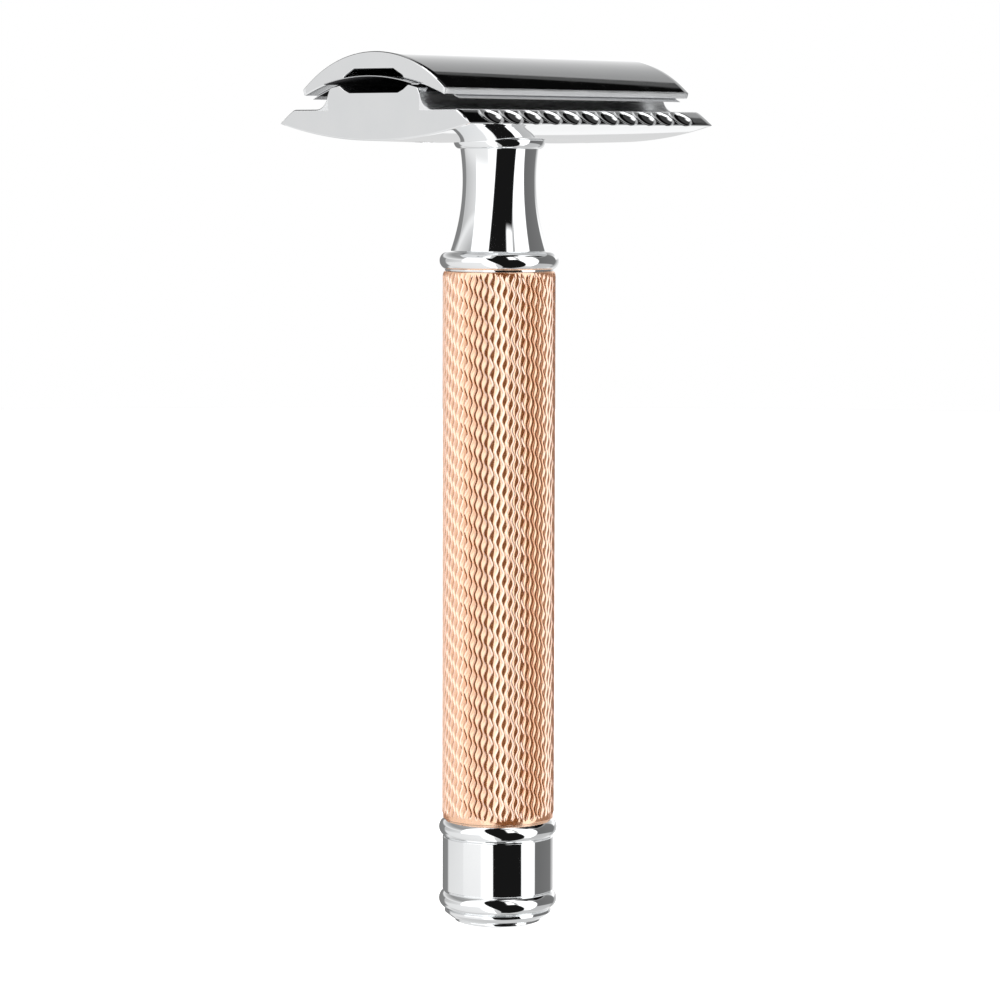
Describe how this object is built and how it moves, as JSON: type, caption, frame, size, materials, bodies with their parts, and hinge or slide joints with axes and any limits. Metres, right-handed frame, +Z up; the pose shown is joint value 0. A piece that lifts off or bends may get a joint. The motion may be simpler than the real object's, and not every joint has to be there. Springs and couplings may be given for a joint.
{
  "type": "safety razor",
  "caption": "Double-edge safety razor in three pieces: screw-on curved cap, closed-comb base plate with scalloped guard bars, and a slim handle with a waved metal grip.",
  "frame": {"origin": "centre of the flat foot at the handle's lower end, on the handle's axis", "axes": "+Z up the handle to the head, X along the head and the blade's edges, Y across the head through both guard bars"},
  "size_m": [0.0428, 0.0274, 0.0966],
  "materials": {
    "chrome": "bright nickel-chrome plate, mirror polished",
    "rose_gold": "rose gold plate over a waved engraving, polished",
    "blade_steel": "ground stainless steel strip",
    "brass": "plain machined brass",
    "steel": "zinc plated steel",
    "rubber": "matt nitrile rubber"
  },
  "bodies": {
    "handle": {"foot_plug": "chrome", "pommel": "chrome", "grip_sleeve": "rose_gold", "neck": "chrome", "core_tube": "brass", "tie_rod": "steel", "tie_nut": "steel", "tie_washer": "steel", "neck_o_ring": "rubber", "pommel_o_ring": "rubber"},
    "plate": {"base_plate": "chrome"},
    "blade": {"blade": "blade_steel"},
    "cap": {"top_cap": "chrome", "cap_stud": "chrome", "cap_pin_left": "chrome", "cap_pin_right": "chrome"}
  },
  "joints": [
    {"name": "head_turn", "type": "hinge", "parent": "handle", "child": "plate", "pos_m": [0, 0, 0.0874], "axis": [0, 0, 1], "range_deg": [0, 3240]},
    {"name": "cap_lift", "type": "slide", "parent": "plate", "child": "cap", "axis": [0, 0, 1], "range_m": [0, 0.0072]},
    {"name": "blade_lift", "type": "slide", "parent": "plate", "child": "blade", "axis": [0, 0, 1], "range_m": [0, 0.0036]}
  ],
  "couplings": [
    {"joint": "cap_lift", "follows": "head_turn", "m_per_rad": 0.00012732},
    {"joint": "blade_lift", "follows": "head_turn", "m_per_rad": 0.00006366}
  ]
}
